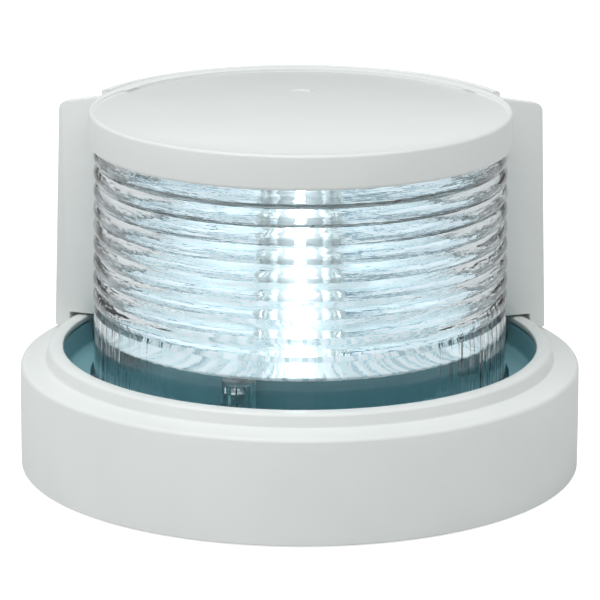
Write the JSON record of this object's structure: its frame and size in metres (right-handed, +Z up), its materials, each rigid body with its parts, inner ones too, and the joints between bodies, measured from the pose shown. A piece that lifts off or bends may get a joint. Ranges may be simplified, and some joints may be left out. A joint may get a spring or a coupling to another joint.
{
  "type": "navigation_light",
  "caption": "Masthead navigation light: clear ribbed drum lens with white cap on a blue-grey base, inside a lift-off white cover ring with a winged rear screen",
  "frame": {"origin": "centre of the underside of the mounting gasket, where the light rests on its bracket or deck", "axes": "+Z up along the lens axis; -Y dead ahead (the bow side, which the light shines on); +X starboard of the viewer who looks aft at it, so the vessel's port side"},
  "size_m": [0.106, 0.106, 0.0685],
  "materials": {
    "white_plastic": "moulded white plastic, satin",
    "blue_grey_plastic": "moulded blue-grey plastic, satin",
    "clear_plastic": "clear polycarbonate, polished",
    "black_rubber": "black elastomer seal, matt",
    "stainless_steel": "stainless steel screws",
    "aluminium": "bare aluminium",
    "enamelled_copper": "enamelled copper winding",
    "circuit_board": "glass-fibre circuit board, green resist",
    "black_plastic": "black moulded plastic",
    "red_insulation": "red wire insulation",
    "natural_nylon": "natural nylon",
    "lit_led": "white LED strip, lit"
  },
  "bodies": {
    "base": {"base_body": "blue_grey_plastic", "bottom_plate": "white_plastic", "cable_grommet": "black_rubber", "cap": "white_plastic", "cap_seal": "black_rubber", "capacitor_1": "aluminium", "capacitor_2": "aluminium", "choke_coil": "enamelled_copper", "driver_board": "circuit_board", "driver_chip": "black_plastic", "inner_screen": "white_plastic", "lead_wire_black": "black_plastic", "lead_wire_red": "red_insulation", "led_board_bow": "circuit_board", "led_board_port": "circuit_board", "led_board_starboard": "circuit_board", "led_post": "aluminium", "led_strip_bow": "lit_led", "led_strip_port": "lit_led", "led_strip_starboard": "lit_led", "led_tray": "white_plastic", "lens": "clear_plastic", "lens_screw_1": "stainless_steel", "lens_screw_2": "stainless_steel", "lens_screw_3": "stainless_steel", "lens_seal": "black_rubber", "mounting_gasket": "black_rubber", "plate_screw_1": "stainless_steel", "plate_screw_2": "stainless_steel", "plate_screw_3": "stainless_steel", "plate_seal": "black_rubber", "post_screw_1": "stainless_steel", "post_screw_2": "stainless_steel", "supply_terminal": "natural_nylon"},
    "cover": {"cover_ring": "white_plastic", "rear_screen": "white_plastic", "screen_screw_1": "stainless_steel", "screen_screw_2": "stainless_steel", "screen_screw_3": "stainless_steel"}
  },
  "joints": [
    {"name": "cover_lift", "type": "slide", "parent": "base", "child": "cover", "axis": [0, 0, 1], "range_m": [0, 0.07]}
  ]
}
